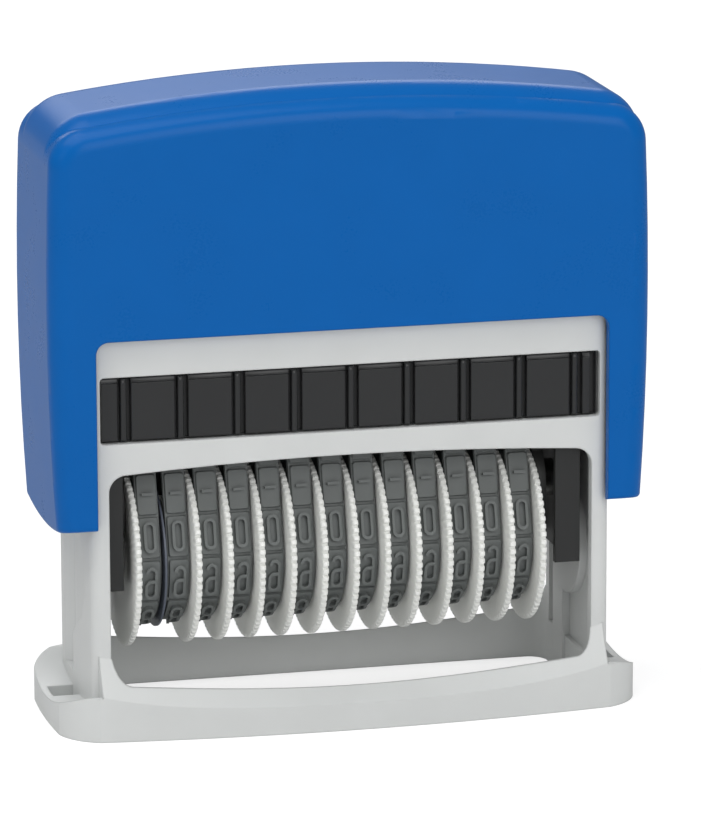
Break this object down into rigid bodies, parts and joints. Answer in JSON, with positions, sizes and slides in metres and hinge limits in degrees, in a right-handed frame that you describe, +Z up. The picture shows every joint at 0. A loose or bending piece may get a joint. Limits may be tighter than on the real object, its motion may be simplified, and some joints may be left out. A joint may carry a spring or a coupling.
{
  "type": "self-inking number stamp",
  "caption": "Self-inking number stamp: press-down cap over a ring-footed frame, ink drawer, and a turn-over unit of rubber number bands, each set by its own toothed wheel.",
  "frame": {"origin": "centre of the foot's underside, on the table", "axes": "+Z up along the stroke, +X along the row of bands from band 1 to band 13, +Y to the rear, -Y the face the user sees"},
  "size_m": [0.076, 0.0306, 0.0802],
  "materials": {
    "cap_blue": "satin-gloss moulded blue",
    "frame_grey": "fine satin moulded light grey",
    "carrier_black": "satin moulded black",
    "drawer_black": "satin moulded black",
    "unit_black": "matt moulded dark grey",
    "wheel_grey": "satin moulded light grey",
    "band_rubber": "matt dark-grey rubber",
    "divider_grey": "satin blue-grey sheet",
    "ink_felt": "inked felt",
    "spring_steel": "bright spring wire",
    "pin_steel": "ground steel",
    "screw_steel": "zinc-plated steel"
  },
  "bodies": {
    "frame": {"base_frame": "frame_grey", "return_spring_left": "spring_steel", "return_spring_right": "spring_steel", "ink_tray": "drawer_black", "ink_pad": "ink_felt"},
    "cap": {"cap_shell": "cap_blue", "cap_carrier": "carrier_black", "carrier_screws": "screw_steel"},
    "unit": {"cheek_left": "unit_black", "cheek_right": "unit_black", "print_bar": "unit_black", "bar_screws": "screw_steel", "wheel_axle": "pin_steel", "band_divider": "divider_grey", "pivot_pin_left": "pin_steel", "pivot_pin_right": "pin_steel", "follower_pin": "pin_steel", "number_band_01": "band_rubber", "number_band_02": "band_rubber", "number_band_03": "band_rubber", "number_band_04": "band_rubber", "number_band_05": "band_rubber", "number_band_06": "band_rubber", "number_band_07": "band_rubber", "number_band_08": "band_rubber", "number_band_09": "band_rubber", "number_band_10": "band_rubber", "number_band_11": "band_rubber", "number_band_12": "band_rubber", "number_band_13": "band_rubber"},
    "wheel_01": {"number_wheel_01": "wheel_grey"},
    "wheel_02": {"number_wheel_02": "wheel_grey"},
    "wheel_03": {"number_wheel_03": "wheel_grey"},
    "wheel_04": {"number_wheel_04": "wheel_grey"},
    "wheel_05": {"number_wheel_05": "wheel_grey"},
    "wheel_06": {"number_wheel_06": "wheel_grey"},
    "wheel_07": {"number_wheel_07": "wheel_grey"},
    "wheel_08": {"number_wheel_08": "wheel_grey"},
    "wheel_09": {"number_wheel_09": "wheel_grey"},
    "wheel_10": {"number_wheel_10": "wheel_grey"},
    "wheel_11": {"number_wheel_11": "wheel_grey"},
    "wheel_12": {"number_wheel_12": "wheel_grey"},
    "wheel_13": {"number_wheel_13": "wheel_grey"}
  },
  "joints": [
    {"name": "cap_press", "type": "slide", "parent": "frame", "child": "cap", "axis": [0, 0, -1], "range_m": [0, 0.0159], "stiffness_N_per_m": 800, "springref_m": -0.006, "deforming": ["return_spring_left", "return_spring_right"]},
    {"name": "unit_flip", "type": "hinge", "parent": "cap", "child": "unit", "pos_m": [0, 0, 0.027], "axis": [-1, 0, 0], "range_deg": [0, 180]},
    {"name": "wheel_01_turn", "type": "hinge", "parent": "unit", "child": "wheel_01", "pos_m": [0, 0, 0.0205], "axis": [1, 0, 0], "continuous": true},
    {"name": "wheel_02_turn", "type": "hinge", "parent": "unit", "child": "wheel_02", "pos_m": [0, 0, 0.0205], "axis": [1, 0, 0], "continuous": true},
    {"name": "wheel_03_turn", "type": "hinge", "parent": "unit", "child": "wheel_03", "pos_m": [0, 0, 0.0205], "axis": [1, 0, 0], "continuous": true},
    {"name": "wheel_04_turn", "type": "hinge", "parent": "unit", "child": "wheel_04", "pos_m": [0, 0, 0.0205], "axis": [1, 0, 0], "continuous": true},
    {"name": "wheel_05_turn", "type": "hinge", "parent": "unit", "child": "wheel_05", "pos_m": [0, 0, 0.0205], "axis": [1, 0, 0], "continuous": true},
    {"name": "wheel_06_turn", "type": "hinge", "parent": "unit", "child": "wheel_06", "pos_m": [0, 0, 0.0205], "axis": [1, 0, 0], "continuous": true},
    {"name": "wheel_07_turn", "type": "hinge", "parent": "unit", "child": "wheel_07", "pos_m": [0, 0, 0.0205], "axis": [1, 0, 0], "continuous": true},
    {"name": "wheel_08_turn", "type": "hinge", "parent": "unit", "child": "wheel_08", "pos_m": [0, 0, 0.0205], "axis": [1, 0, 0], "continuous": true},
    {"name": "wheel_09_turn", "type": "hinge", "parent": "unit", "child": "wheel_09", "pos_m": [0, 0, 0.0205], "axis": [1, 0, 0], "continuous": true},
    {"name": "wheel_10_turn", "type": "hinge", "parent": "unit", "child": "wheel_10", "pos_m": [0, 0, 0.0205], "axis": [1, 0, 0], "continuous": true},
    {"name": "wheel_11_turn", "type": "hinge", "parent": "unit", "child": "wheel_11", "pos_m": [0, 0, 0.0205], "axis": [1, 0, 0], "continuous": true},
    {"name": "wheel_12_turn", "type": "hinge", "parent": "unit", "child": "wheel_12", "pos_m": [0, 0, 0.0205], "axis": [1, 0, 0], "continuous": true},
    {"name": "wheel_13_turn", "type": "hinge", "parent": "unit", "child": "wheel_13", "pos_m": [0, 0, 0.0205], "axis": [1, 0, 0], "continuous": true}
  ],
  "couplings": [
    {"joint": "unit_flip", "follows": "cap_press", "rad_per_m": 197.58}
  ]
}
